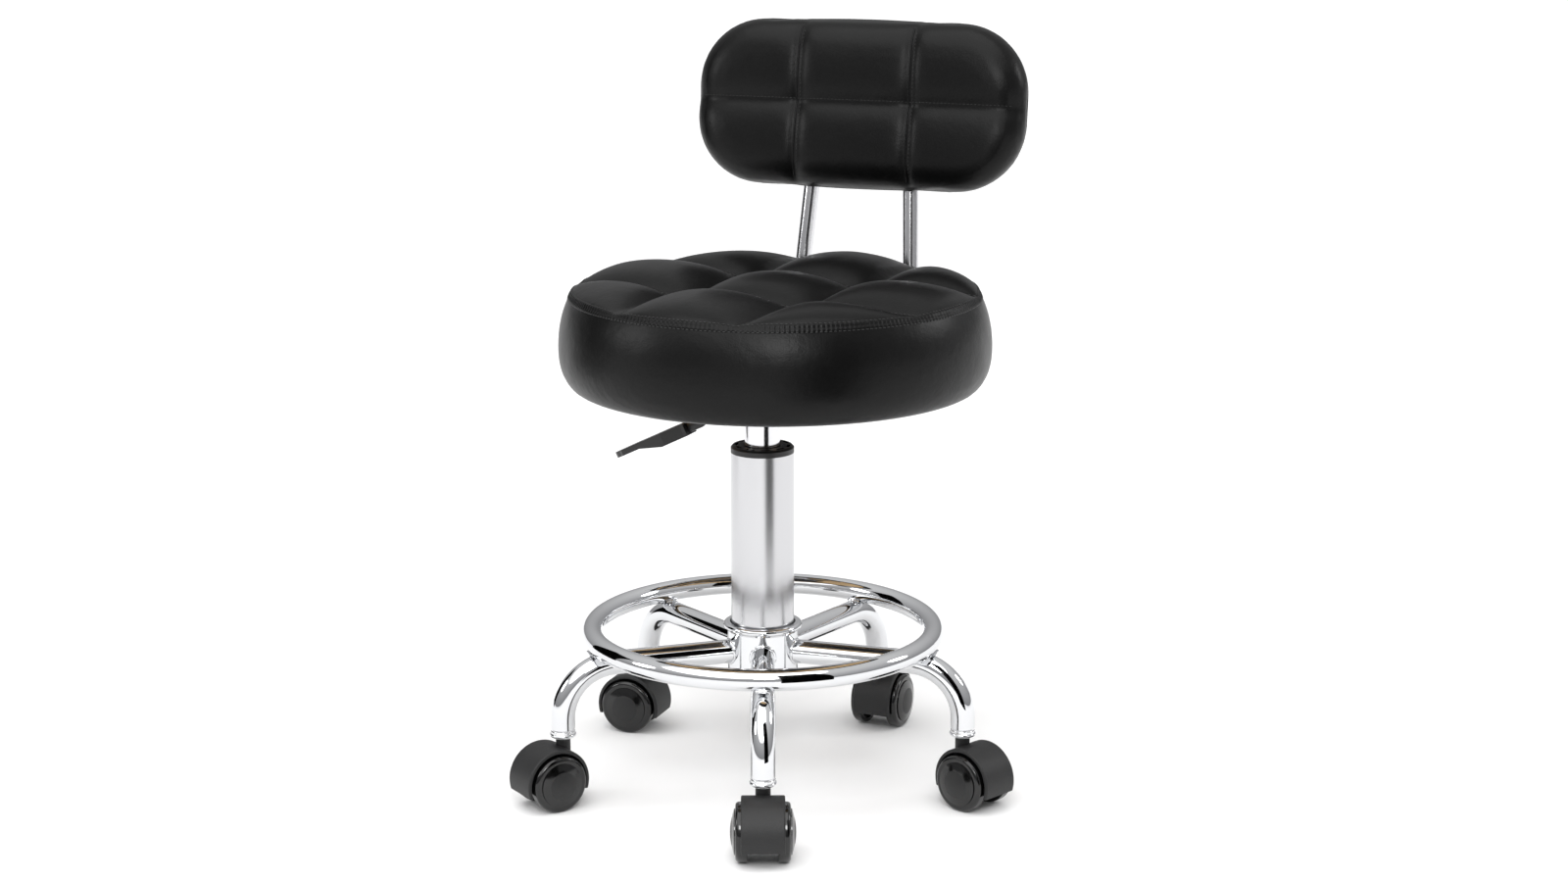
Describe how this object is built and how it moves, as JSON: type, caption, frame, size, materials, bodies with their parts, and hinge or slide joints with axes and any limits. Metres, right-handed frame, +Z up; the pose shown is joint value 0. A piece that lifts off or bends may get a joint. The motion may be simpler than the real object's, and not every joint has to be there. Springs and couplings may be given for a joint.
{
  "type": "adjustable swivel stool",
  "caption": "Height-adjustable swivel stool: round tufted black seat, small padded backrest, gas-lift column and a chromed base with foot ring and twin-wheel casters.",
  "frame": {"origin": "on the floor, on the column's axis, under the hub", "axes": "+Z up; the seat faces -Y and the backrest stands towards +Y; the release lever is on the -X side, under the sitter's right thigh"},
  "size_m": [0.3871, 0.4544, 0.593],
  "materials": {
    "chromed_steel": "polished",
    "satin_steel": "satin",
    "ground_steel": "polished",
    "black_nylon": "satin",
    "textured_nylon": "matte",
    "wheel_nylon": "gloss",
    "black_rubber": "matte",
    "zinc_steel": "satin",
    "black_steel": "satin",
    "plywood": "matte",
    "foam": "matte",
    "black_leather": "satin"
  },
  "bodies": {
    "base": {"base_hub": "chromed_steel", "foot_ring": "chromed_steel", "caster_sockets": "black_nylon", "outer_column": "satin_steel", "guide_bush": "black_nylon", "bearing_lower_race": "zinc_steel", "leg_1": "chromed_steel", "leg_2": "chromed_steel", "leg_3": "chromed_steel", "leg_4": "chromed_steel", "leg_5": "chromed_steel", "caster_stem_1": "black_steel", "caster_stem_2": "black_steel", "caster_stem_3": "black_steel", "caster_stem_4": "black_steel", "caster_stem_5": "black_steel"},
    "spindle": {"piston_rod": "ground_steel", "bearing_upper_race": "zinc_steel", "bump_rubber": "black_rubber", "rod_clip": "zinc_steel"},
    "ball_cage": {"bearing_ball_cage": "zinc_steel"},
    "seat": {"gas_cylinder": "ground_steel", "cylinder_gland": "black_nylon", "seat_plate": "black_steel", "plate_bolts": "zinc_steel", "lever_pin": "zinc_steel", "seat_board": "plywood", "seat_foam": "foam", "seat_cover": "black_leather", "back_rod_left": "ground_steel", "back_rod_right": "ground_steel", "back_clamps": "black_steel", "clamp_bolts": "zinc_steel", "backrest_board": "plywood", "backrest_foam": "foam", "backrest_cover": "black_leather", "backrest_bolts": "zinc_steel"},
    "lever": {"lever_rod": "black_steel", "lever_handle": "black_nylon"},
    "valve_button": {"valve_button": "ground_steel"},
    "caster_1": {"caster_hood_1": "textured_nylon", "caster_axle_1": "zinc_steel"},
    "wheel_left_1": {"wheel_left_1": "wheel_nylon"},
    "wheel_right_1": {"wheel_right_1": "wheel_nylon"},
    "caster_2": {"caster_hood_2": "textured_nylon", "caster_axle_2": "zinc_steel"},
    "wheel_left_2": {"wheel_left_2": "wheel_nylon"},
    "wheel_right_2": {"wheel_right_2": "wheel_nylon"},
    "caster_3": {"caster_hood_3": "textured_nylon", "caster_axle_3": "zinc_steel"},
    "wheel_left_3": {"wheel_left_3": "wheel_nylon"},
    "wheel_right_3": {"wheel_right_3": "wheel_nylon"},
    "caster_4": {"caster_hood_4": "textured_nylon", "caster_axle_4": "zinc_steel"},
    "wheel_left_4": {"wheel_left_4": "wheel_nylon"},
    "wheel_right_4": {"wheel_right_4": "wheel_nylon"},
    "caster_5": {"caster_hood_5": "textured_nylon", "caster_axle_5": "zinc_steel"},
    "wheel_left_5": {"wheel_left_5": "wheel_nylon"},
    "wheel_right_5": {"wheel_right_5": "wheel_nylon"}
  },
  "joints": [
    {"name": "seat_swivel", "type": "hinge", "parent": "base", "child": "spindle", "pos_m": [0, 0, 0.0964], "axis": [0, 0, 1], "continuous": true},
    {"name": "ball_cage_roll", "type": "hinge", "parent": "base", "child": "ball_cage", "pos_m": [0, 0, 0.095], "axis": [0, 0, 1], "continuous": true},
    {"name": "seat_height", "type": "slide", "parent": "spindle", "child": "seat", "axis": [0, 0, 1], "range_m": [0, 0.11]},
    {"name": "lever_lift", "type": "hinge", "parent": "seat", "child": "lever", "pos_m": [-0.028, 0, 0.3137], "axis": [0, 1, 0], "range_deg": [0, 8], "stiffness_Nm_per_rad": 6, "springref_deg": -2.86},
    {"name": "valve_press", "type": "slide", "parent": "seat", "child": "valve_button", "axis": [0, 0, -1], "range_m": [0, 0.004]},
    {"name": "caster_swivel_1", "type": "hinge", "parent": "base", "child": "caster_1", "pos_m": [0.06047, -0.15352, 0.05], "axis": [0, 0, 1], "continuous": true},
    {"name": "wheel_roll_left_1", "type": "hinge", "parent": "caster_1", "child": "wheel_left_1", "pos_m": [0.06524, -0.16561, 0.0225], "axis": [0.9304, 0.3665, 0], "continuous": true},
    {"name": "wheel_roll_right_1", "type": "hinge", "parent": "caster_1", "child": "wheel_right_1", "pos_m": [0.06524, -0.16561, 0.0225], "axis": [0.9304, 0.3665, 0], "continuous": true},
    {"name": "caster_swivel_2", "type": "hinge", "parent": "base", "child": "caster_2", "pos_m": [0.16469, 0.01007, 0.05], "axis": [0, 0, 1], "continuous": true},
    {"name": "wheel_roll_left_2", "type": "hinge", "parent": "caster_2", "child": "wheel_left_2", "pos_m": [0.17661, 0.00489, 0.0225], "axis": [0.3987, 0.9171, 0], "continuous": true},
    {"name": "wheel_roll_right_2", "type": "hinge", "parent": "caster_2", "child": "wheel_right_2", "pos_m": [0.17661, 0.00489, 0.0225], "axis": [0.3987, 0.9171, 0], "continuous": true},
    {"name": "caster_swivel_3", "type": "hinge", "parent": "base", "child": "caster_3", "pos_m": [0.04131, 0.15974, 0.05], "axis": [0, 0, 1], "continuous": true},
    {"name": "wheel_roll_left_3", "type": "hinge", "parent": "caster_3", "child": "wheel_left_3", "pos_m": [0.04211, 0.17272, 0.0225], "axis": [-0.9981, 0.061, 0], "continuous": true},
    {"name": "wheel_roll_right_3", "type": "hinge", "parent": "caster_3", "child": "wheel_right_3", "pos_m": [0.04211, 0.17272, 0.0225], "axis": [-0.9981, 0.061, 0], "continuous": true},
    {"name": "caster_swivel_4", "type": "hinge", "parent": "base", "child": "caster_4", "pos_m": [-0.13916, 0.08865, 0.05], "axis": [0, 0, 1], "continuous": true},
    {"name": "wheel_roll_left_4", "type": "hinge", "parent": "caster_4", "child": "wheel_left_4", "pos_m": [-0.15216, 0.08831, 0.0225], "axis": [0.0262, -0.9997, 0], "continuous": true},
    {"name": "wheel_roll_right_4", "type": "hinge", "parent": "caster_4", "child": "wheel_right_4", "pos_m": [-0.15216, 0.08831, 0.0225], "axis": [0.0262, -0.9997, 0], "continuous": true},
    {"name": "caster_swivel_5", "type": "hinge", "parent": "base", "child": "caster_5", "pos_m": [-0.12732, -0.10495, 0.05], "axis": [0, 0, 1], "continuous": true},
    {"name": "wheel_roll_left_5", "type": "hinge", "parent": "caster_5", "child": "wheel_left_5", "pos_m": [-0.13487, -0.11554, 0.0225], "axis": [0.8141, -0.5807, 0], "continuous": true},
    {"name": "wheel_roll_right_5", "type": "hinge", "parent": "caster_5", "child": "wheel_right_5", "pos_m": [-0.13487, -0.11554, 0.0225], "axis": [0.8141, -0.5807, 0], "continuous": true}
  ],
  "couplings": [
    {"joint": "ball_cage_roll", "follows": "seat_swivel", "ratio": 0.5},
    {"joint": "valve_press", "follows": "lever_lift", "m_per_rad": 0.028}
  ]
}
